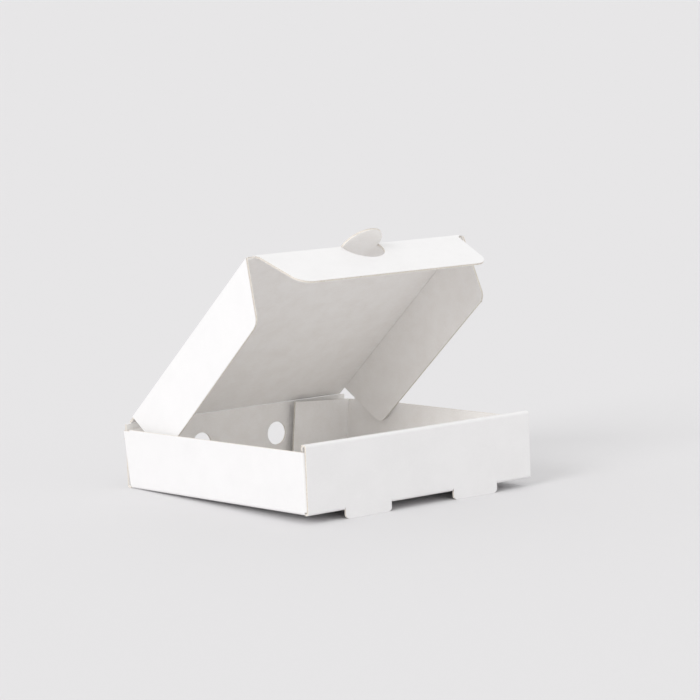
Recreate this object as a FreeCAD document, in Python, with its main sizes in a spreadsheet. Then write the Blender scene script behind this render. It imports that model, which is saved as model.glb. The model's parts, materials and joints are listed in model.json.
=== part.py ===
import FreeCAD, Part
import math
import os
import Sketcher

# A small pizza box folded from one sheet of corrugated board, standing open.
# Millimetres. The tray is drawn flat on its floor, with its front at y = 0 and its
# middle at x = 0, and is then tipped back on its two front feet.

doc = FreeCAD.newDocument("PizzaBox")

# Driving sizes
sizes = doc.addObject("Spreadsheet::Sheet", "Sizes")
driving_sizes = [
    ("board", 1.5, "thickness of the fine-flute board"),
    ("bend_inside", 0.5, "inside radius of a right-angle fold"),
    ("layer_gap", 0.3, "air between two layers of board"),
    ("crease_gap", 0.25, "air beside a crease that moves"),
    ("kerf", 0.3, "width of a die cut"),
    ("tray_width", 200.0, "left to right, over the floor"),
    ("tray_depth", 200.0, "front to back, outside"),
    ("side_height", 42.0, "top of the side walls"),
    ("front_height", 47.0, "top of the rolled-over front wall"),
    ("hinge_height", 46.0, "crease between back wall and lid"),
    ("lean_front", 2.3, "outward lean of a side wall at the front, degrees"),
    ("lean_back", 5.9, "outward lean of a side wall at the back, degrees"),
    ("dust_length", 57.0, "corner flap at each end of a side wall"),
    ("dust_drop", 0.8, "corner flap below the top of its wall"),
    ("dust_rise", 4.0, "rise of a back corner flap's top towards its free end, degrees"),
    ("dust_swing", 5.0, "corner flap standing off the back wall, degrees"),
    ("vent_diameter", 17.0, "steam vent in the back wall"),
    ("vent_offset", 34.4, "steam vent from the middle"),
    ("vent_height", 23.0, "centre of a steam vent"),
    ("foot_width", 40.0, "foot tab left standing from the front wall"),
    ("foot_offset", 48.0, "foot tab from the middle"),
    ("foot_drop", 6.0, "foot tab below the floor"),
    ("foot_corner", 3.0, "rounded corner of a foot tab"),
    ("lock_width", 38.0, "lock tab of the inner front wall"),
    ("lid_inset", 3.0, "side crease of the lid inside the tray's side"),
    ("lid_length", 187.0, "back crease to front crease"),
    ("lid_angle", 40.5, "lid open from the floor, degrees"),
    ("side_flap_depth", 43.0, "side flap of the lid"),
    ("side_flap_back", 7.0, "side flap's back end from the hinge"),
    ("side_flap_back_slant", 13.0, "slant of the side flap's back end"),
    ("side_flap_front", 1.2, "side flap's front end from the front crease"),
    ("side_flap_slant", 16.0, "slant of the side flap's front end"),
    ("splay_back", 2.4, "side flap's spread at the back, degrees"),
    ("splay_left_front", 7.5, "left flap's spread at the front, degrees"),
    ("splay_right_front", 5.0, "right flap's spread at the front, degrees"),
    ("flap_corner", 8.0, "rounded corner of a side flap"),
    ("front_flap_depth", 43.0, "front flap of the lid"),
    ("front_flap_fold", 63.5, "front flap folded down from the lid, degrees"),
    ("front_flap_inset", 5.0, "front flap's end inside the lid's side"),
    ("front_flap_step", 3.0, "front flap's end steps in beside the crease"),
    ("front_flap_taper", 5.5, "front flap's end tapers in towards its edge"),
    ("front_flap_corner", 12.0, "rounded corner of the front flap"),
    ("thumb_width", 32.0, "thumb tab at the front crease"),
    ("thumb_reach", 18.5, "thumb tab beyond the front crease"),
]
for row, (alias, number, note) in enumerate(driving_sizes, start=1):
    sizes.set(f"A{row}", note)
    sizes.set(f"B{row}", str(number))
    sizes.setAlias(f"B{row}", alias)
doc.recompute()


def value(expression):
    """The number that an expression on the sheet gives now."""
    return float(sizes.evalExpression(expression))


def size(alias):
    return float(getattr(sizes, alias))


# Expressions that several sub-parts share
board = "Sizes.board"
half_board = "Sizes.board / 2"
bend_outside = "(Sizes.board + Sizes.bend_inside)"
half_width = "Sizes.tray_width / 2"
crease_room = "(Sizes.board / 2 + Sizes.crease_gap)"
front_thickness = "(3 * Sizes.board + 2 * Sizes.layer_gap)"
inner_front = "(2 * Sizes.board + 2 * Sizes.layer_gap)"
dust_face = "(Sizes.board + Sizes.layer_gap)"
lid_side = "(Sizes.tray_width / 2 - Sizes.lid_inset)"


def origin_plane(body, role):
    for feature in body.Origin.OriginFeatures:
        if feature.Role == role:
            return feature
    raise ValueError(role)


def pin(sketch, geometry, point, x, y):
    """Holds a point of the sketch at two expressions."""
    place = (("DistanceX", x), ("DistanceY", y))
    for kind, expression in place:
        number = sketch.addConstraint(
            Sketcher.Constraint(kind, -1, 1, geometry, point, value(expression))
        )
        sketch.setExpression(f"Constraints[{number}]", expression)


def new_sketch(body, name, role, offset=None):
    """A sketch on one of the body's own planes, moved along its normal by an expression."""
    sketch = body.newObject("Sketcher::SketchObject", name)
    sketch.AttachmentSupport = (origin_plane(body, role), [""])
    sketch.MapMode = "FlatFace"
    if offset is not None:
        sketch.setExpression("AttachmentOffset.Base.z", offset)
    return sketch


def outline(body, name, role, corners, offset=None):
    """A closed outline. A corner is (x, y) or, rounded, (x, y, radius), all expressions."""
    sketch = new_sketch(body, name, role, offset)
    points = [FreeCAD.Vector(value(c[0]), value(c[1]), 0) for c in corners]
    count = len(corners)
    starts = list(points)
    ends = points[1:] + points[:1]
    arcs = {}
    for number, corner in enumerate(corners):
        if len(corner) < 3:
            continue
        radius = value(corner[2])
        here = points[number]
        back = (points[number - 1] - here).normalize()
        ahead = (points[(number + 1) % count] - here).normalize()
        half_turn = back.getAngle(ahead) / 2
        along = radius / math.tan(half_turn)
        centre = here + (back + ahead).normalize() * (radius / math.sin(half_turn))
        starts[number] = here + ahead * along
        ends[number - 1] = here + back * along
        arcs[number] = (centre, radius, back.cross(ahead).z < 0)
    for start, end in zip(starts, ends):
        sketch.addGeometry(Part.LineSegment(start, end))
    for number, corner in enumerate(corners):
        before = (number - 1) % count
        if number not in arcs:
            pin(sketch, number, 1, corner[0], corner[1])
            sketch.addConstraint(Sketcher.Constraint("Coincident", before, 2, number, 1))
            continue
        centre, radius, turns_left = arcs[number]
        first, last = (ends[before], starts[number]) if turns_left else (starts[number], ends[before])
        angles = [math.atan2(p.y - centre.y, p.x - centre.x) for p in (first, last)]
        circle = Part.Circle(centre, FreeCAD.Vector(0, 0, 1), radius)
        arc = sketch.addGeometry(Part.ArcOfCircle(circle, angles[0], angles[1]))
        sharp = sketch.addGeometry(Part.Point(points[number]), True)
        pin(sketch, sharp, 1, corner[0], corner[1])
        sketch.addConstraint(Sketcher.Constraint("PointOnObject", sharp, 1, before))
        sketch.addConstraint(Sketcher.Constraint("PointOnObject", sharp, 1, number))
        sketch.addConstraint(Sketcher.Constraint("Tangent", before, 2, arc, 1 if turns_left else 2))
        sketch.addConstraint(Sketcher.Constraint("Tangent", arc, 2 if turns_left else 1, number, 1))
        held = sketch.addConstraint(Sketcher.Constraint("Radius", arc, radius))
        sketch.setExpression(f"Constraints[{held}]", corner[2])
    return sketch


def disc(body, name, role, x, y, radius, offset=None):
    """A full circle at two expressions."""
    sketch = new_sketch(body, name, role, offset)
    centre = FreeCAD.Vector(value(x), value(y), 0)
    sketch.addGeometry(Part.Circle(centre, FreeCAD.Vector(0, 0, 1), value(radius)))
    pin(sketch, 0, 3, x, y)
    held = sketch.addConstraint(Sketcher.Constraint("Radius", 0, value(radius)))
    sketch.setExpression(f"Constraints[{held}]", radius)
    return sketch


def pad(body, sketch, name, length, both_ways=False, reverse=False):
    feature = body.newObject("PartDesign::Pad", name)
    feature.Profile = sketch
    feature.SideType = "Symmetric" if both_ways else "One side"
    feature.Reversed = reverse
    feature.setExpression("Length", length)
    doc.recompute()
    return feature


def pocket(body, sketch, name, length, both_ways=False, reverse=False):
    """Cuts the sketch out of the body, and stops where nothing was cut."""
    before = body.Shape.Volume
    feature = body.newObject("PartDesign::Pocket", name)
    feature.Profile = sketch
    feature.SideType = "Symmetric" if both_ways else "One side"
    feature.Reversed = reverse
    feature.setExpression("Length", length)
    doc.recompute()
    if body.Shape.Volume >= before:
        raise RuntimeError(name + " cut nothing")
    return feature


def loft(body, sections, name):
    feature = body.newObject("PartDesign::AdditiveLoft", name)
    feature.Profile = sections[0]
    feature.Sections = sections[1:]
    feature.Ruled = True
    doc.recompute()
    return feature


def times(side, expression):
    return f"{side} * ({expression})"


# Tray
tray = doc.addObject("PartDesign::Body", "tray")

floor_outline = outline(tray, "floor_outline", "XY_Plane", [
    (f"-({half_width} - {bend_outside})", bend_outside),
    (f"{half_width} - {bend_outside}", bend_outside),
    (f"{half_width} - {bend_outside}", f"Sizes.tray_depth - {bend_outside}"),
    (f"-({half_width} - {bend_outside})", f"Sizes.tray_depth - {bend_outside}"),
])
pad(tray, floor_outline, "floor", board)

dust_back_face = f"(Sizes.tray_depth - {dust_face})"
wall_foot = f"({bend_outside} + Sizes.kerf)"
fold_reach = f"({bend_outside} + Sizes.board)"
wall_rise = f"(Sizes.hinge_height - {crease_room} - {wall_foot})"


def bent_wall(side, side_name):
    """The fold between the floor and a side wall, as a quarter ring run from corner to corner."""
    section = outline(tray, f"{side_name}_fold_section", "XZ_Plane", [
        (times(side, f"{half_width} - {fold_reach}"), "0"),
        (times(side, half_width), "0", bend_outside),
        (times(side, half_width), wall_foot),
        (times(side, f"{half_width} - Sizes.board"), wall_foot),
        (times(side, f"{half_width} - Sizes.board"), board, "Sizes.bend_inside"),
        (times(side, f"{half_width} - {fold_reach}"), board),
    ], f"-({dust_face} + {bend_outside})")
    length = f"{dust_back_face} - {dust_face} - 2 * {bend_outside}"
    pad(tray, section, f"{side_name}_fold", length, reverse=True)


def plan_of_wall(side, name, height, rise):
    """A side wall with its two corner flaps seen from above, moved out by the lean over its rise."""
    front = f"({half_width} + {rise} * tan(Sizes.lean_front))"
    back = f"({half_width} + {rise} * tan(Sizes.lean_back))"
    swing_cos = "cos(Sizes.dust_swing)"
    swing_sin = "sin(Sizes.dust_swing)"
    free_x = f"({back} - Sizes.dust_length * {swing_cos})"
    free_y = f"({dust_back_face} - Sizes.dust_length * {swing_sin})"
    inner_y = f"({dust_back_face} - Sizes.board / {swing_cos} - Sizes.board * tan(Sizes.dust_swing))"
    return outline(tray, name, "XY_Plane", [
        (times(side, f"{half_width} - Sizes.dust_length"), dust_face),
        (times(side, front), dust_face, bend_outside),
        (times(side, back), dust_back_face, bend_outside),
        (times(side, free_x), free_y),
        (times(side, f"{free_x} + Sizes.board * {swing_sin}"), f"{free_y} - Sizes.board * {swing_cos}"),
        (times(side, f"{back} - Sizes.board"), inner_y, "Sizes.bend_inside"),
        (times(side, f"{front} - Sizes.board"), f"{dust_face} + Sizes.board", "Sizes.bend_inside"),
        (times(side, f"{half_width} - Sizes.dust_length"), f"{dust_face} + Sizes.board"),
    ], height)


def side_wall(side, side_name):
    """A leaning side wall, whose lean grows towards the back, with its corner flaps."""
    bottom = plan_of_wall(side, f"{side_name}_wall_bottom", wall_foot, "0")
    top = plan_of_wall(side, f"{side_name}_wall_top", f"{wall_foot} + {wall_rise}", wall_rise)
    loft(tray, [bottom, top], f"{side_name}_wall")
    corner_top = "(Sizes.side_height - Sizes.dust_drop)"
    past = f"({half_width} + Sizes.board * 10)"
    free_end = f"({half_width} - Sizes.dust_length - Sizes.board * 4)"
    over = "(Sizes.hinge_height * 2)"
    rise = f"({past} - {free_end}) * tan(Sizes.dust_rise)"
    dust_zone = f"(Sizes.dust_length * sin(Sizes.dust_swing) + {bend_outside} + Sizes.board)"
    wall_top = outline(tray, f"{side_name}_wall_trim", "XZ_Plane", [
        (times(side, free_end), "Sizes.side_height"),
        (times(side, past), "Sizes.side_height"),
        (times(side, past), over),
        (times(side, free_end), over),
    ], f"-({dust_back_face} - {dust_zone})")
    pocket(tray, wall_top, f"{side_name}_wall_cut", f"{dust_back_face} - {dust_zone}", reverse=True)
    corner_rise = f"({past} - {half_width}) * tan(Sizes.dust_rise)"
    dust_top = outline(tray, f"{side_name}_dust_trim", "XZ_Plane", [
        (times(side, free_end), f"{corner_top} - {corner_rise} + {rise}"),
        (times(side, past), f"{corner_top} - {corner_rise}"),
        (times(side, past), over),
        (times(side, free_end), over),
    ], f"-{dust_back_face}")
    pocket(tray, dust_top, f"{side_name}_dust_cut", f"{dust_zone}", reverse=True)


for side, side_name in ((1, "right"), (-1, "left")):
    bent_wall(side, side_name)
    side_wall(side, side_name)

# The front wall rises, rolls over the corner flaps and comes down inside them
front_section = outline(tray, "front_section", "YZ_Plane", [
    (fold_reach, "0"),
    ("0", "0", bend_outside),
    ("0", "Sizes.front_height", bend_outside),
    (front_thickness, "Sizes.front_height", bend_outside),
    (front_thickness, "Sizes.side_height + Sizes.layer_gap"),
    (inner_front, "Sizes.side_height + Sizes.layer_gap"),
    (inner_front, "Sizes.front_height - Sizes.board", "Sizes.bend_inside"),
    (board, "Sizes.front_height - Sizes.board", "Sizes.bend_inside"),
    (board, board, "Sizes.bend_inside"),
    (fold_reach, board),
])
pad(tray, front_section, "front_wall", "Sizes.tray_width", both_ways=True)

back_section = outline(tray, "back_section", "YZ_Plane", [
    (f"Sizes.tray_depth - {fold_reach}", "0"),
    ("Sizes.tray_depth", "0", bend_outside),
    ("Sizes.tray_depth", f"Sizes.hinge_height - {crease_room}"),
    ("Sizes.tray_depth - Sizes.board", f"Sizes.hinge_height - {crease_room}"),
    ("Sizes.tray_depth - Sizes.board", board, "Sizes.bend_inside"),
    (f"Sizes.tray_depth - {fold_reach}", board),
])
pad(tray, back_section, "back_wall", "Sizes.tray_width", both_ways=True)

# The inner front wall is narrower than the outer one, to pass between the side walls
inner_half = f"({half_width} - {dust_face})"
inner_top = "(Sizes.side_height + Sizes.layer_gap + Sizes.board)"
inner_outline = outline(tray, "inner_front_outline", "XZ_Plane", [
    (f"-{inner_half}", dust_face),
    (inner_half, dust_face),
    (inner_half, inner_top),
    (f"-{inner_half}", inner_top),
], f"-{inner_front}")
pad(tray, inner_outline, "inner_front_wall", board, reverse=True)

# Steam vents
for side, side_name in ((1, "right"), (-1, "left")):
    vent = disc(tray, f"{side_name}_vent_outline", "XZ_Plane", times(side, "Sizes.vent_offset"),
                "Sizes.vent_height", "Sizes.vent_diameter / 2", "-(Sizes.tray_depth + Sizes.board)")
    pocket(tray, vent, f"{side_name}_vent", "3 * Sizes.board", reverse=True)

# Each foot is cut out of the floor and stays in line with the front wall. The lock tab
# of the inner wall stands in the slot that it leaves.
slot_half = "(Sizes.foot_width / 2 + Sizes.kerf)"
for side, side_name in ((1, "right"), (-1, "left")):
    slot = outline(tray, f"{side_name}_slot_outline", "XY_Plane", [
        (f"{side} * Sizes.foot_offset - {slot_half}", f"-{board}"),
        (f"{side} * Sizes.foot_offset + {slot_half}", f"-{board}"),
        (f"{side} * Sizes.foot_offset + {slot_half}", f"{front_thickness} + 2 * Sizes.kerf"),
        (f"{side} * Sizes.foot_offset - {slot_half}", f"{front_thickness} + 2 * Sizes.kerf"),
    ], dust_face)
    pocket(tray, slot, f"{side_name}_slot", f"{dust_face} + Sizes.board")
    foot = outline(tray, f"{side_name}_foot_outline", "XZ_Plane", [
        (f"{side} * Sizes.foot_offset - Sizes.foot_width / 2", f"{bend_outside}"),
        (f"{side} * Sizes.foot_offset - Sizes.foot_width / 2", "-Sizes.foot_drop", "Sizes.foot_corner"),
        (f"{side} * Sizes.foot_offset + Sizes.foot_width / 2", "-Sizes.foot_drop", "Sizes.foot_corner"),
        (f"{side} * Sizes.foot_offset + Sizes.foot_width / 2", f"{bend_outside}"),
    ])
    pad(tray, foot, f"{side_name}_foot", board, reverse=True)
    lock = outline(tray, f"{side_name}_lock_outline", "XZ_Plane", [
        (f"{side} * Sizes.foot_offset - Sizes.lock_width / 2", f"{bend_outside}"),
        (f"{side} * Sizes.foot_offset - Sizes.lock_width / 2", "0"),
        (f"{side} * Sizes.foot_offset + Sizes.lock_width / 2", "0"),
        (f"{side} * Sizes.foot_offset + Sizes.lock_width / 2", f"{bend_outside}"),
    ], f"-{inner_front}")
    pad(tray, lock, f"{side_name}_lock", board, reverse=True)

# Lid, drawn flat: its hinge crease is the x axis and it reaches towards -y
lid = doc.addObject("PartDesign::Body", "lid")
lid_edge = f"({lid_side} - {crease_room})"
lid_outline = outline(lid, "lid_outline", "XY_Plane", [
    (f"-{lid_edge}", "0"),
    (f"-{lid_edge}", f"-(Sizes.lid_length - {crease_room})"),
    (lid_edge, f"-(Sizes.lid_length - {crease_room})"),
    (lid_edge, "0"),
])
pad(lid, lid_outline, "lid_panel", board, both_ways=True)
hinge_roll = disc(lid, "hinge_roll_outline", "YZ_Plane", "0", "0", half_board)
pad(lid, hinge_roll, "hinge_roll", f"2 * {lid_edge}", both_ways=True)

# The thumb tab is a half moon that stays in the lid's plane when the front flap folds down
thumb_radius = "((Sizes.thumb_width / 2) ^ 2 + Sizes.thumb_reach ^ 2) / (2 * Sizes.thumb_reach)"
thumb_centre = f"(Sizes.thumb_reach - {thumb_radius})"
thumb_disc = disc(lid, "thumb_outline", "XY_Plane", "0", f"-(Sizes.lid_length + {thumb_centre})", thumb_radius)
pad(lid, thumb_disc, "thumb_tab", board, both_ways=True)


def crease_roll(body, name, role, length, offset):
    """The rounded edge of a flap, about its own crease."""
    roll = disc(body, name + "_outline", role, "0", "0", half_board, offset)
    pad(body, roll, name, length)


# Front flap, drawn flat in line with the lid
front_flap = doc.addObject("PartDesign::Body", "lid_front_flap")
flap_end = f"({lid_side} - Sizes.front_flap_inset)"
flap_step = f"({flap_end} - Sizes.front_flap_step)"
flap_tip = f"({flap_step} - Sizes.front_flap_taper)"
front_outline = outline(front_flap, "front_flap_outline", "XY_Plane", [
    (f"-{flap_end}", "0"),
    (f"-{flap_step}", "-Sizes.front_flap_step"),
    (f"-{flap_tip}", "-Sizes.front_flap_depth", "Sizes.front_flap_corner"),
    (flap_tip, "-Sizes.front_flap_depth", "Sizes.front_flap_corner"),
    (flap_step, "-Sizes.front_flap_step"),
    (flap_end, "0"),
])
pad(front_flap, front_outline, "front_flap_panel", board, both_ways=True)
crease_roll(front_flap, "front_crease", "YZ_Plane", f"2 * {flap_end}", f"-{flap_end}")
thumb_hole = disc(front_flap, "thumb_hole_outline", "XY_Plane", "0", f"-{thumb_centre}",
                  f"{thumb_radius} + Sizes.kerf")
pocket(front_flap, thumb_hole, "thumb_hole", "3 * Sizes.board", both_ways=True)


def side_flap(side, name, splay_front):
    """A side flap of the lid, drawn flat: its crease is the y axis, and it twists along it."""
    body = doc.addObject("PartDesign::Body", name)
    back_end = "Sizes.side_flap_back"
    front_end = "(Sizes.lid_length - Sizes.side_flap_front)"
    sections = []
    for place, offset, turn in (("back", back_end, "0"),
                                ("front", front_end, f"(Sizes.{splay_front} - Sizes.splay_back)")):
        along_x = f"cos({turn})"
        along_z = f"sin({turn})"
        sections.append(outline(body, f"{name}_{place}_section", "XZ_Plane", [
            (times(side, f"{half_board} * {along_z}"), f"-{half_board} * {along_x}"),
            (times(side, f"Sizes.side_flap_depth * {along_x} + {half_board} * {along_z}"),
             f"Sizes.side_flap_depth * {along_z} - {half_board} * {along_x}"),
            (times(side, f"Sizes.side_flap_depth * {along_x} - {half_board} * {along_z}"),
             f"Sizes.side_flap_depth * {along_z} + {half_board} * {along_x}"),
            (times(side, f"-{half_board} * {along_z}"), f"{half_board} * {along_x}"),
        ], offset))
    loft(body, sections, name + "_panel")
    crease_roll(body, name + "_crease", "XZ_Plane", f"{front_end} - {back_end}", back_end)
    reach = "(Sizes.side_flap_depth + Sizes.board)"
    past = "(2 * Sizes.board)"
    slant = f"({front_end} - Sizes.side_flap_slant)"
    free_edge = f"Sizes.side_flap_depth * cos(Sizes.{splay_front} - Sizes.splay_back)"
    front_trim = outline(body, name + "_front_trim", "XY_Plane", [
        (times(side, "0"), f"-{front_end} - {past}"),
        (times(side, "0"), f"-{front_end}"),
        (times(side, free_edge), f"-{slant}", "Sizes.flap_corner"),
        (times(side, free_edge), f"-({slant} - 2 * Sizes.flap_corner)"),
        (times(side, reach), f"-({slant} - 2 * Sizes.flap_corner)"),
        (times(side, reach), f"-{front_end} - {past}"),
    ])
    pocket(body, front_trim, name + "_front_cut", "20 * Sizes.board", both_ways=True)
    back_slant = f"({back_end} + Sizes.side_flap_back_slant)"
    back_trim = outline(body, name + "_back_trim", "XY_Plane", [
        (times(side, "0"), f"-{back_end} + {past}"),
        (times(side, "0"), f"-{back_end}"),
        (times(side, "Sizes.side_flap_depth"), f"-{back_slant}", "Sizes.flap_corner"),
        (times(side, "Sizes.side_flap_depth"), f"-({back_slant} + 2 * Sizes.flap_corner)"),
        (times(side, reach), f"-({back_slant} + 2 * Sizes.flap_corner)"),
        (times(side, reach), f"-{back_end} + {past}"),
    ])
    pocket(body, back_trim, name + "_back_cut", "20 * Sizes.board", both_ways=True)
    return body


left_flap = side_flap(-1, "lid_left_flap", "splay_left_front")
right_flap = side_flap(1, "lid_right_flap", "splay_right_front")

# The box stands on the inner bottom edges of its feet and on the fold of its back wall
bend = size("board") + size("bend_inside")
reach = size("tray_depth") - bend - size("board")
rise = size("foot_drop") + bend
tilt = math.atan2(rise, reach) - math.asin(bend / math.hypot(reach, rise))
lift = size("board") * math.sin(tilt) + size("foot_drop") * math.cos(tilt)

x_axis = FreeCAD.Vector(1, 0, 0)
y_axis = FreeCAD.Vector(0, 1, 0)


def turned(place, axis, degrees):
    return FreeCAD.Placement(FreeCAD.Vector(*place), FreeCAD.Rotation(axis, degrees))


def set_places(forward):
    """Places every body, with the whole box moved along y by the given distance."""
    stand = turned((0, forward, lift), x_axis, -math.degrees(tilt))
    hinge = (0, size("tray_depth") - size("board") / 2, size("hinge_height"))
    open_lid = stand.multiply(turned(hinge, x_axis, -size("lid_angle")))
    front_crease = turned((0, -size("lid_length"), 0), x_axis, size("front_flap_fold"))
    side_crease = size("tray_width") / 2 - size("lid_inset")
    fold = 90 - size("splay_back")
    tray.Placement = stand
    lid.Placement = open_lid
    front_flap.Placement = open_lid.multiply(front_crease)
    left_flap.Placement = open_lid.multiply(turned((-side_crease, 0, 0), y_axis, -fold))
    right_flap.Placement = open_lid.multiply(turned((side_crease, 0, 0), y_axis, fold))
    doc.recompute()


pieces = [tray, lid, left_flap, right_flap, front_flap]
set_places(0)
box = FreeCAD.BoundBox()
for piece in pieces:
    box.add(piece.Shape.BoundBox)
set_places(-box.Center.y)
print("moved along y by", -box.Center.y)

# Every object is sound before anything is written
for item in doc.Objects:
    if "Invalid" in item.State or "Error" in item.State:
        raise RuntimeError(item.Name + " failed")
for piece in pieces:
    shape = piece.Shape
    if shape.isNull() or not shape.isValid() or len(shape.Solids) != 1:
        raise RuntimeError(piece.Label + " is not one sound solid")

os.makedirs("parts", exist_ok=True)
for piece in pieces:
    piece.Shape.exportStep(os.path.join("parts", piece.Label + ".step"))
    print(piece.Label, round(piece.Shape.Volume), piece.Shape.BoundBox)
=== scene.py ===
import json
import math
import bpy
from mathutils import Matrix, Vector
from mathutils.bvhtree import BVHTree


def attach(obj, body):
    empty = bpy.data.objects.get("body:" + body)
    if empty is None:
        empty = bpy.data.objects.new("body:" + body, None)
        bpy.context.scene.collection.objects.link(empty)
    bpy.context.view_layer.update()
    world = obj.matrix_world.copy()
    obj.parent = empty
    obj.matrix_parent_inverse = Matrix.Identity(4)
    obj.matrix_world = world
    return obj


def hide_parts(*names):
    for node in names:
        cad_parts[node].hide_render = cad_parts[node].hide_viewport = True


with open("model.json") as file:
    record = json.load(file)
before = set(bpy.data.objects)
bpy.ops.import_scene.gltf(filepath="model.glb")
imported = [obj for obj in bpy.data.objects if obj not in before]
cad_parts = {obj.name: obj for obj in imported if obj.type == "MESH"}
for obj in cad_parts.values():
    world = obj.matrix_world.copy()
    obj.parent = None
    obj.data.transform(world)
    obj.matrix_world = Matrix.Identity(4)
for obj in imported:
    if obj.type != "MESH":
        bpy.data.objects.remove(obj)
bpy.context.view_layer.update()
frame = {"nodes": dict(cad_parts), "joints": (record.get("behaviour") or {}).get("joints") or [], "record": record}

bpy.ops.object.select_all(action="DESELECT")
mm = 0.001
bodyOfNode = {
    "tray": "tray",
    "lid": "lid",
    "lid_left_flap": "left_flap",
    "lid_right_flap": "right_flap",
    "lid_front_flap": "front_flap",
}
creaseOfSideFlap = {"lid_left_flap": "left_flap_fold", "lid_right_flap": "right_flap_fold"}
jointPlace = {joint["name"]: Vector(joint["pos_m"]) for joint in frame["joints"]}
jointAxis = {joint["name"]: Vector(joint["axis"]).normalized() for joint in frame["joints"]}


# Camera, at the photograph's viewing angle
camera = {
    "place": (-1.29246, -1.56002, 0.36639),
    "yaw": 40.132,              # degrees, turned from +Y towards +X
    "pitch": 7.595,             # looking down
    "roll": -1.022,
    "focalPixels": 2939.2,
    "imagePixels": 700,
    "sensorMm": 36.0,
    "clipEnd": 200,             # metres, so that the far floor is in the picture
}


def addCamera(info):
    yaw = math.radians(info["yaw"])
    pitch = math.radians(info["pitch"])
    roll = math.radians(info["roll"])
    ahead = Vector((math.sin(yaw) * math.cos(pitch),
                    math.cos(yaw) * math.cos(pitch),
                    -math.sin(pitch)))
    level = Vector((math.cos(yaw), -math.sin(yaw), 0))
    upright = level.cross(ahead)
    right = level * math.cos(roll) + upright * math.sin(roll)
    up = upright * math.cos(roll) - level * math.sin(roll)
    bpy.ops.object.camera_add(location=info["place"])
    cameraObject = bpy.context.object
    cameraObject.name = "photoCamera"
    turn = Matrix((right, up, -ahead)).transposed()
    cameraObject.rotation_euler = turn.to_euler()
    cameraObject.data.sensor_width = info["sensorMm"]
    cameraObject.data.lens = info["focalPixels"] / info["imagePixels"] * info["sensorMm"]
    cameraObject.data.clip_end = info["clipEnd"]
    bpy.context.scene.camera = cameraObject


# An sRGB hex colour as linear red, green, blue and alpha
def hexColour(code):
    parts = [int(code[i:i + 2], 16) / 255 for i in (1, 3, 5)]
    linear = [p / 12.92 if p <= 0.04045 else ((p + 0.055) / 1.055) ** 2.4 for p in parts]
    return (*linear, 1.0)


# One node with its settings, and its inputs linked from (node, output) pairs
def addNode(material, kind, settings=None, links=None):
    node = material.node_tree.nodes.new(kind)
    for name, setting in (settings or {}).items():
        if name.startswith("in:"):
            key = name[3:]
            node.inputs[int(key) if key.isdigit() else key].default_value = setting
        else:
            setattr(node, name, setting)
    for name, (source, output) in (links or {}).items():
        socket = node.inputs[int(name) if name.isdigit() else name]
        material.node_tree.links.new(source.outputs[output], socket)
    return node


def newMaterial(name):
    material = bpy.data.materials.new(name)
    material.use_nodes = True
    shader = material.node_tree.nodes["Principled BSDF"]
    return material, shader


def linkNodes(material, source, output, target, socket):
    material.node_tree.links.new(source.outputs[output], target.inputs[socket])


# Clay-coated white liner, outside the box: smooth and half matt, the flutes just telling through
coatedLiner = {
    "light": "#f2f1f1",
    "shade": "#efeeee",
    "roughness": 0.5,
    "mottleMm": 18.0,           # cloudy formation of the paper
    "fibreMm": 0.6,             # fibre grain, drawn coarser than real so that it shows
    "fluteMm": 3.4,             # washboard pitch
    "fluteDepth": 0.10,
    "fibreDepth": 0.08,
}
# Uncoated white liner, inside the box: matt and slightly warm, its fibres and flutes show more
plainLiner = {
    "light": "#faf8f6",
    "shade": "#f5f2ef",
    "roughness": 0.85,
    "mottleMm": 12.0,
    "fibreMm": 0.9,
    "fluteMm": 3.4,
    "fluteDepth": 0.16,
    "fibreDepth": 0.16,
}
# Die-cut edge: the raw rims of the liners, matt and rough, without the coating's smoothness
cutEdge = {
    "light": "#faf8f5",
    "shade": "#f0ece6",
    "roughness": 0.95,
    "mottleMm": 1.2,
    "fibreMm": 0.4,
    "fluteMm": 3.4,
    "fluteDepth": 0.0,
    "fibreDepth": 0.5,
}
# Fluted medium seen between those rims: recycled paper, a little darker and warmer than the liners
flutedMedium = {
    "light": "#eee9e2",
    "shade": "#e0d9cf",
    "roughness": 0.95,
    "mottleMm": 2.0,
    "fibreMm": 0.4,
    "fluteMm": 3.4,
    "fluteDepth": 0.0,
    "fibreDepth": 0.3,
}
# What the four papers share
paperGrain = {
    "ior": 1.5,
    "specular": 0.3,
    "mottleDetail": 3.0,
    "mottleRoughness": 0.6,
    "fibreDetail": 2.0,
    "fibreStretch": (0.35, 1.0, 1.0),   # fibres are longer from left to right
    "fibreShare": 0.4,                  # of the fibres in the colour, the rest is mottle
    "shadeUpTo": 0.35,
    "lightFrom": 0.6,
    "wavePeriod": math.pi / 10,         # of a Wave texture at scale 1
    "waveWobble": 0.4,
    "fluteRelief": 0.1 * mm,
    "fibreRelief": 0.05 * mm,
}


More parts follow.
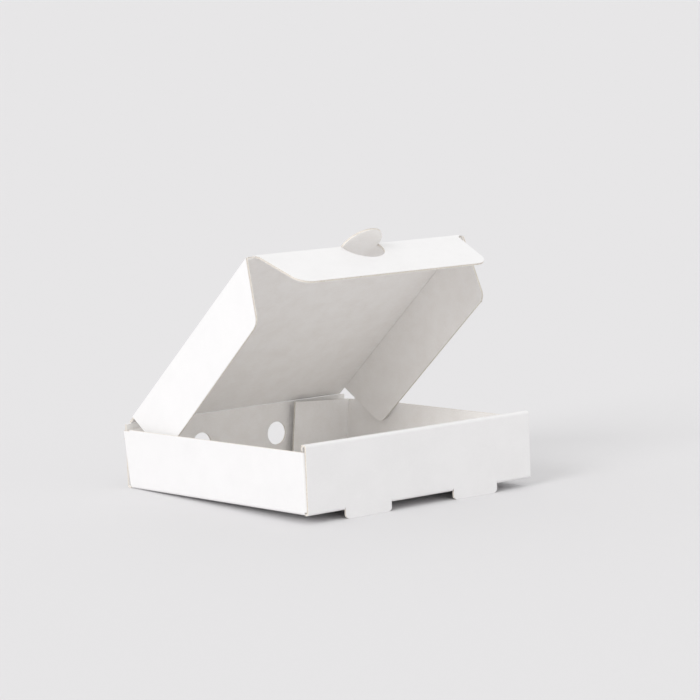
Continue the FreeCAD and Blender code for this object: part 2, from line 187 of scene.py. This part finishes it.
def paperMaterial(name, info):
    grain = paperGrain
    material, shader = newMaterial(name)
    shader.inputs["Roughness"].default_value = info["roughness"]
    shader.inputs["IOR"].default_value = grain["ior"]
    shader.inputs["Specular IOR Level"].default_value = grain["specular"]
    place = addNode(material, "ShaderNodeTexCoord")
    mottle = addNode(material, "ShaderNodeTexNoise",
                     {"in:Scale": 1 / (info["mottleMm"] * mm),
                      "in:Detail": grain["mottleDetail"], "in:Roughness": grain["mottleRoughness"]},
                     {"Vector": (place, "Object")})
    stretched = addNode(material, "ShaderNodeMapping", {"in:Scale": grain["fibreStretch"]},
                        {"Vector": (place, "Object")})
    fibre = addNode(material, "ShaderNodeTexNoise",
                    {"in:Scale": 1 / (info["fibreMm"] * mm), "in:Detail": grain["fibreDetail"]},
                    {"Vector": (stretched, "Vector")})
    both = addNode(material, "ShaderNodeMix", {"data_type": "FLOAT", "in:0": grain["fibreShare"]},
                   {"2": (mottle, "Fac"), "3": (fibre, "Fac")})
    ramp = addNode(material, "ShaderNodeValToRGB", {}, {"Fac": (both, 0)})
    low, high = ramp.color_ramp.elements
    low.position = grain["shadeUpTo"]
    low.color = hexColour(info["shade"])
    high.position = grain["lightFrom"]
    high.color = hexColour(info["light"])
    linkNodes(material, ramp, "Color", shader, "Base Color")
    flute = addNode(material, "ShaderNodeTexWave",
                    {"bands_direction": "X",
                     "in:Scale": grain["wavePeriod"] / (info["fluteMm"] * mm),
                     "in:Distortion": grain["waveWobble"], "in:Detail": 0.0},
                    {"Vector": (place, "Object")})
    fluteBump = addNode(material, "ShaderNodeBump",
                        {"in:Strength": info["fluteDepth"], "in:Distance": grain["fluteRelief"]},
                        {"Height": (flute, "Fac")})
    fibreBump = addNode(material, "ShaderNodeBump",
                        {"in:Strength": info["fibreDepth"], "in:Distance": grain["fibreRelief"]},
                        {"Height": (fibre, "Fac"), "Normal": (fluteBump, "Normal")})
    linkNodes(material, fibreBump, "Normal", shader, "Normal")
    return material


# Studio: a light grey paper floor that runs into the sky, and one soft light from the left
studio = {
    "floorSize": 120.0,
    "floorColour": "#e2e1e2",
    "floorRoughness": 0.95,
    "floorSpecular": 0.1,
    "skyStrength": 0.90,
    "sunStrength": 1.0,
    "sunAngle": 28.0,           # degrees across, for a soft shadow
    "sunPlace": (0, 0, 2),
    "sunFrom": (-0.85, -0.18, 0.45),
}


def addStudio(info):
    bpy.ops.mesh.primitive_plane_add(size=info["floorSize"], location=(0, 0, 0))
    floor = bpy.context.object
    floor.name = "studioFloor"
    material, shader = newMaterial("matt studio paper")
    shader.inputs["Base Color"].default_value = hexColour(info["floorColour"])
    shader.inputs["Roughness"].default_value = info["floorRoughness"]
    shader.inputs["Specular IOR Level"].default_value = info["floorSpecular"]
    floor.data.materials.append(material)
    world = bpy.data.worlds.new("studioWorld")
    bpy.context.scene.world = world
    world.use_nodes = True
    background = world.node_tree.nodes["Background"]
    background.inputs["Color"].default_value = (1, 1, 1, 1)
    background.inputs["Strength"].default_value = info["skyStrength"]
    bpy.ops.object.light_add(type="SUN", location=info["sunPlace"])
    sun = bpy.context.object
    sun.name = "softKey"
    sun.data.energy = info["sunStrength"]
    sun.data.angle = math.radians(info["sunAngle"])
    sun.rotation_euler = Vector(info["sunFrom"]).to_track_quat("Z", "Y").to_euler()


# Folded board: each solid of the frame is dressed as liners, cut edges and fluted medium
boardInfo = {
    "thickness": 1.5 * mm,
    "slack": 0.2 * mm,          # how far the board behind a liner may be from that thickness
    "linerThickness": 0.2 * mm,
    "edgeRecess": 0.35 * mm,    # how deep the medium lies between the liners of a cut edge
    "recessDraft": 0.01 * mm,
    "sliver": 0.05 * mm,        # faces lower than this are too thin to be an edge of their own
    "hingeReach": 1.3 * mm,     # how far from the lid's crease a face is still part of the fold
    "rollReach": 0.85 * mm,     # the same at a flap's crease
    "lean": 0.1,                # the most that such a face leans along its crease
    "rayStep": 0.01 * mm,       # how far under its face a ray starts
    "mergeDistance": 0.002 * mm,
    "flatAngle": 0.6,           # degrees, below this two faces are one flat face
    "roundAngle": 35,           # degrees, below this two faces shade as one round
}
slotOf = {"coated": 0, "plain": 1, "cut": 2, "medium": 3}


def onlySelect(piece):
    bpy.ops.object.select_all(action="DESELECT")
    piece.select_set(True)
    bpy.context.view_layer.objects.active = piece


# A merged copy of a frame solid, to be dressed
def copyNode(nodeName, pieceName):
    source = frame["nodes"][nodeName]
    piece = bpy.data.objects.new(pieceName, source.data.copy())
    bpy.context.collection.objects.link(piece)
    piece.data.materials.clear()
    onlySelect(piece)
    bpy.ops.object.mode_set(mode="EDIT")
    bpy.ops.mesh.select_all(action="SELECT")
    bpy.ops.mesh.remove_doubles(threshold=boardInfo["mergeDistance"])
    bpy.ops.object.mode_set(mode="OBJECT")
    return piece


# The tray leans back on its feet, so its layers are told in a frame that lies along its floor
trayMount = frame["record"]["mounts"][0]
trayTilt = math.atan2(trayMount["axis"][1], -trayMount["axis"][2])
trayMiddle = Vector(trayMount["pos_m"])
trayInfo = {
    "depth": 200 * mm,
    "frontSkin": 0.2 * mm,      # the front wall and its feet are one outer face up to here
    "innerWall": 3.45 * mm,     # behind this the sheet at the front is turned about
    "rollTop": 44 * mm,         # above this the front wall rolls over
    "facing": 0.7,              # a face looks along an axis from here on
    "skinFacing": 0.9,          # the same for the front skin
}


# A point in the tray's own untilted frame, with the front at y = 0 and the floor at z = 0
def inTray(point):
    turned = Matrix.Rotation(-trayTilt, 3, "X") @ (point - trayMiddle)
    return turned + Vector((0, trayInfo["depth"] / 2, 0))


def fromTray(x, y, z):
    point = Vector((x, y - trayInfo["depth"] / 2, z))
    return Matrix.Rotation(trayTilt, 3, "X") @ point + trayMiddle


def isOutsideOfTray(centre, normal):
    place = inTray(centre)
    facing = Matrix.Rotation(-trayTilt, 3, "X") @ normal
    if abs(facing.z) > trayInfo["facing"]:
        return facing.z > 0 if place.z > trayInfo["rollTop"] else facing.z < 0
    if abs(facing.x) > trayInfo["facing"]:
        return facing.x * place.x > 0
    if place.y > trayInfo["innerWall"]:
        return facing.y > 0
    return facing.y < 0


def isOutsideOfPlate(plateNormal):
    def test(centre, normal):
        return normal.dot(plateNormal) > 0
    return test


insideShare = 1.5               # a point this many hinge heights up lies inside the open box
insidePoint = Vector((0, 0, jointPlace["lid_hinge"].z * insideShare))


# The outward normal of a flat piece: that of its largest face, away from the inside of the box
def plateNormalOf(piece):
    largest = max(piece.data.polygons, key=lambda face: face.area)
    normal = largest.normal.copy()
    if normal.dot(largest.center - insidePoint) < 0:
        normal.negate()
    return normal


def heightOf(mesh, face):
    corners = [mesh.vertices[i].co for i in face.vertices]
    longest = max((corners[i] - corners[i - 1]).length for i in range(len(corners)))
    return 2 * face.area / longest


def distanceTo(jointName, point):
    axis = jointAxis[jointName]
    away = point - jointPlace[jointName]
    return (away - axis * away.dot(axis)).length


# A face beside a crease that moves: the sheet runs on there, so it isn't cut
def isCrease(face):
    for name, axis in jointAxis.items():
        reach = boardInfo["hingeReach"] if name == "lid_hinge" else boardInfo["rollReach"]
        isNear = distanceTo(name, face.center) < reach
        if isNear and abs(face.normal.dot(axis)) < boardInfo["lean"]:
            return True
    return False


def isFrontSkin(face):
    facing = Matrix.Rotation(-trayTilt, 3, "X") @ face.normal
    isFront = facing.y < -trayInfo["skinFacing"]
    return isFront and inTray(face.center).y < trayInfo["frontSkin"]


# Liners and cut edges are told apart by the thickness of the board behind each face
def sortFaces(piece, isOutside):
    mesh = piece.data
    corners = [vertex.co for vertex in mesh.vertices]
    tree = BVHTree.FromPolygons(corners, [list(face.vertices) for face in mesh.polygons])
    for face in mesh.polygons:
        hit = tree.ray_cast(face.center - face.normal * boardInfo["rayStep"], -face.normal)
        behind = hit[3] if hit[0] is not None else 0
        isLiner = abs(behind - boardInfo["thickness"]) < boardInfo["slack"] or isFrontSkin(face)
        isLiner = isLiner or isCrease(face) or heightOf(mesh, face) < boardInfo["sliver"]
        if not isLiner:
            face.material_index = slotOf["cut"]
        elif isOutside(face.center, face.normal):
            face.material_index = slotOf["coated"]
        else:
            face.material_index = slotOf["plain"]


def dissolveFlats(piece):
    onlySelect(piece)
    bpy.ops.object.mode_set(mode="EDIT")
    bpy.ops.mesh.select_all(action="SELECT")
    bpy.ops.mesh.dissolve_limited(angle_limit=math.radians(boardInfo["flatAngle"]),
                                  delimit={"MATERIAL"})
    bpy.ops.object.mode_set(mode="OBJECT")


# The medium is set back a little between the two liners of every cut edge
def cutBackEdges(piece):
    onlySelect(piece)
    bpy.ops.object.mode_set(mode="EDIT")
    bpy.ops.mesh.select_mode(type="FACE")
    bpy.ops.mesh.select_all(action="DESELECT")
    piece.active_material_index = slotOf["cut"]
    bpy.ops.object.material_slot_select()
    bpy.ops.mesh.inset(thickness=boardInfo["linerThickness"], use_even_offset=False,
                       use_boundary=True)
    piece.active_material_index = slotOf["medium"]
    bpy.ops.object.material_slot_assign()
    bpy.ops.mesh.inset(thickness=boardInfo["recessDraft"], depth=-boardInfo["edgeRecess"],
                       use_even_offset=False)
    bpy.ops.object.mode_set(mode="OBJECT")


def smoothRounds(piece):
    onlySelect(piece)
    bpy.ops.object.shade_smooth_by_angle(angle=math.radians(boardInfo["roundAngle"]))
    weights = piece.modifiers.new("flat faces stay flat", "WEIGHTED_NORMAL")
    weights.keep_sharp = True
    bpy.ops.object.modifier_apply(modifier=weights.name)


# Flutes seen in the cut edges that run across them
fluteInfo = {
    "pitch": 3.4 * mm,
    "steps": 8,                 # flat steps in one wave
    "pick": 0.1,                # share of a step within which a vertex belongs to its column
    "height": 0.42 * mm,        # half the wave, middle to crest
    "paper": 0.16 * mm,
    "depth": 1.1 * mm,          # how far a ribbon reaches into the board
    "sunk": 0.08 * mm,          # its end below the liners' edges
    "mergeDistance": 0.01 * mm,
    "shortestCut": 8 * mm,
    "across": 0.7,              # how squarely a cut must lie across the flutes
    "freeShare": 0.95,          # a side flap's free edge lies this far out from its crease
    "freeLean": 0.02,           # the most that the free edge leans along the crease
    "longSide": 10 * mm,        # a shorter side of that edge belongs to a corner
    "cornerRoom": 2.0 * mm,
}


# Straight cut edges of a board, each as (start, end, outward normal)
def straightCuts(piece):
    cuts = []
    for face in piece.data.polygons:
        if face.material_index != slotOf["cut"] or len(face.vertices) != 4:
            continue
        corners = [piece.data.vertices[i].co for i in face.vertices]
        sides = [corners[(i + 1) % 4] - corners[i] for i in range(4)]
        longest = max(range(4), key=lambda i: sides[i].length)
        width = sides[(longest + 1) % 4].length
        isWide = abs(width - boardInfo["thickness"]) <= 2 * boardInfo["slack"]
        if sides[longest].length < fluteInfo["shortestCut"] or not isWide:
            continue
        start = (corners[longest] + corners[longest - 1]) / 2
        end = (corners[(longest + 1) % 4] + corners[(longest + 2) % 4]) / 2
        cuts.append((start, end, face.normal.copy()))
    return cuts


# The sides of a strip of faces that only one of them has
def borderOf(faces):
    seen = {}
    for face in faces:
        for key in face.edge_keys:
            seen[key] = seen.get(key, 0) + 1
    return [key for key, times in seen.items() if times == 1]


# The long free edge of a side flap, which twists a little: (start, end, outward normal)
def freeEdgeOf(piece, creaseName):
    axis = jointAxis[creaseName]
    mesh = piece.data
    rim = [face for face in mesh.polygons if face.material_index == slotOf["cut"]]
    depth = {face.index: distanceTo(creaseName, face.center) for face in rim}
    least = fluteInfo["freeShare"] * max(depth.values())
    free = [face for face in rim
            if depth[face.index] > least and abs(face.normal.dot(axis)) < fluteInfo["freeLean"]]
    outward = sum((face.normal * face.area for face in free), Vector()).normalized()
    sides = []
    for first, second in borderOf(free):
        ends = sorted((mesh.vertices[first].co, mesh.vertices[second].co),
                      key=lambda place: place.dot(axis))
        if (ends[1] - ends[0]).length > fluteInfo["longSide"]:
            sides.append(ends)
    if not sides:
        return None
    along = sum((ends[1] - ends[0] for ends in sides), Vector()).normalized()
    over = along.cross(outward)
    middle = sum((ends[0] + ends[1] for ends in sides), Vector()) / (2 * len(sides))
    rows = [[], []]             # middles of the sides on either face of the board
    for ends in sides:
        halfway = (ends[0] + ends[1]) / 2
        rows[(halfway - middle).dot(over) > 0].append(halfway)
    if rows[0] and rows[1]:
        means = [sum(places, Vector()) / len(places) for places in rows]
        middle = (means[0] + means[1]) / 2
    reach = [(place - middle).dot(along) for ends in sides for place in ends]
    start = middle + along * (min(reach) + fluteInfo["cornerRoom"])
    end = middle + along * (max(reach) - fluteInfo["cornerRoom"])
    return (start, end, outward)


# One board, and the cuts along which its flutes may show
def dressBoard(nodeName, pieceName):
    piece = copyNode(nodeName, pieceName)
    for material in (coated, plain, edge, medium):
        piece.data.materials.append(material)
    if nodeName == "tray":
        isOutside = isOutsideOfTray
    else:
        isOutside = isOutsideOfPlate(plateNormalOf(piece))
    sortFaces(piece, isOutside)
    dissolveFlats(piece)
    creaseName = creaseOfSideFlap.get(nodeName)
    cuts = [freeEdgeOf(piece, creaseName)] if creaseName else straightCuts(piece)
    cutBackEdges(piece)
    smoothRounds(piece)
    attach(piece, bodyOfNode[nodeName])
    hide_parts(nodeName)
    print("dressed", pieceName, len(piece.data.polygons), "faces and", len(cuts), "straight cuts")
    return cuts


# One wave of the medium, repeated along a cut from start to end
def addFluteRibbon(start, end, outward):
    info = fluteInfo
    span = end - start
    count = int(span.length / info["pitch"])
    bpy.ops.mesh.primitive_grid_add(x_subdivisions=info["steps"], y_subdivisions=1,
                                    size=info["pitch"])
    ribbon = bpy.context.object
    ribbon.scale = (1, info["depth"] / info["pitch"], 1)
    bpy.ops.object.transform_apply(location=False, rotation=False, scale=True)
    for column in range(1, info["steps"]):
        x = (column / info["steps"] - 0.5) * info["pitch"]
        nearby = info["pick"] * info["pitch"] / info["steps"]
        for vertex in ribbon.data.vertices:
            vertex.select = abs(vertex.co.x - x) < nearby
        for item in list(ribbon.data.edges) + list(ribbon.data.polygons):
            item.select = False
        bpy.ops.object.mode_set(mode="EDIT")
        bpy.ops.mesh.select_mode(type="VERT")
        height = info["height"] * math.sin(2 * math.pi * column / info["steps"])
        bpy.ops.transform.translate(value=(0, 0, height))
        bpy.ops.object.mode_set(mode="OBJECT")
    waves = ribbon.modifiers.new("waves", "ARRAY")
    waves.count = count
    waves.use_relative_offset = False
    waves.use_constant_offset = True
    waves.constant_offset_displace = (info["pitch"], 0, 0)
    waves.use_merge_vertices = True
    waves.merge_threshold = info["mergeDistance"]
    bpy.ops.object.modifier_apply(modifier=waves.name)
    paper = ribbon.modifiers.new("paper", "SOLIDIFY")
    paper.thickness = info["paper"]
    paper.offset = 0
    bpy.ops.object.modifier_apply(modifier=paper.name)
    along = span.normalized()
    inward = -outward
    over = along.cross(inward)
    first = start + along * ((span.length - (count - 1) * info["pitch"]) / 2)
    middle = first + inward * (info["sunk"] + info["depth"] / 2)
    turn = Matrix((along, inward, over)).transposed().to_4x4()
    ribbon.matrix_world = Matrix.Translation(middle) @ turn
    bpy.ops.object.transform_apply(location=True, rotation=True, scale=True)
    return ribbon


def addFlutes(cuts, fluteAxisAt, body, pieceName):
    ribbons = []
    for start, end, outward in cuts:
        axis = fluteAxisAt((start + end) / 2)
        isAcross = abs(axis.dot(outward)) > fluteInfo["across"]
        if isAcross and (end - start).length > fluteInfo["pitch"]:
            ribbons.append(addFluteRibbon(start, end, outward))
    if not ribbons:
        print("no flutes on", pieceName)
        return
    bpy.ops.object.select_all(action="DESELECT")
    for ribbon in ribbons:
        ribbon.select_set(True)
    piece = ribbons[0]
    bpy.context.view_layer.objects.active = piece
    if len(ribbons) > 1:
        bpy.ops.object.join()
    piece.name = pieceName
    piece.data.materials.clear()
    piece.data.materials.append(medium)
    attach(piece, body)
    print("added", pieceName, len(piece.data.polygons), "faces in", len(ribbons), "ribbons")


# Where the tray's cuts lie, in its own frame
wallZone = {
    "halfWidth": 100 * mm,
    "frontEdge": 0.75 * mm,     # middle of the front wall's end
    "backEdge": 199.25 * mm,
    "low": 3 * mm,
    "high": 44 * mm,
    "cornerTopFrom": 38 * mm,   # cuts between these heights are the tops of the side walls
    "cornerTopTo": 45.4 * mm,
}
leftToRight = Vector((1, 0, 0))
trayUp = fromTray(0, 0, 1) - fromTray(0, 0, 0)


# The flutes run left to right in the sheet, so they stand upright in the side walls and their flaps
def fluteAxisOfTray(point):
    height = inTray(point).z
    isCornerTop = wallZone["cornerTopFrom"] < height < wallZone["cornerTopTo"]
    return trayUp if isCornerTop else leftToRight


addCamera(camera)
addStudio(studio)
print("camera and studio ready")

coated = paperMaterial("clay-coated white liner", coatedLiner)
plain = paperMaterial("uncoated white liner", plainLiner)
edge = paperMaterial("die-cut board edge", cutEdge)
medium = paperMaterial("fluted medium", flutedMedium)
print("papers ready")

cutsOf = {}
for nodeName in bodyOfNode:
    cutsOf[nodeName] = dressBoard(nodeName, nodeName + "_board")

# The ends of the front and back walls
for x in (-wallZone["halfWidth"], wallZone["halfWidth"]):
    for y in (wallZone["frontEdge"], wallZone["backEdge"]):
        low = fromTray(x, y, wallZone["low"])
        high = fromTray(x, y, wallZone["high"])
        cutsOf["tray"].append((low, high, leftToRight * math.copysign(1, x)))
addFlutes(cutsOf["tray"], fluteAxisOfTray, "tray", "tray_flutes")
for nodeName in creaseOfSideFlap:
    freeEdge = cutsOf[nodeName][0]
    if freeEdge:
        addFlutes([freeEdge], lambda point: freeEdge[2], bodyOfNode[nodeName], nodeName + "_flutes")
addFlutes(cutsOf["lid_front_flap"], lambda point: leftToRight, "front_flap", "lid_front_flap_flutes")

bpy.context.scene.view_settings.view_transform = "Standard"
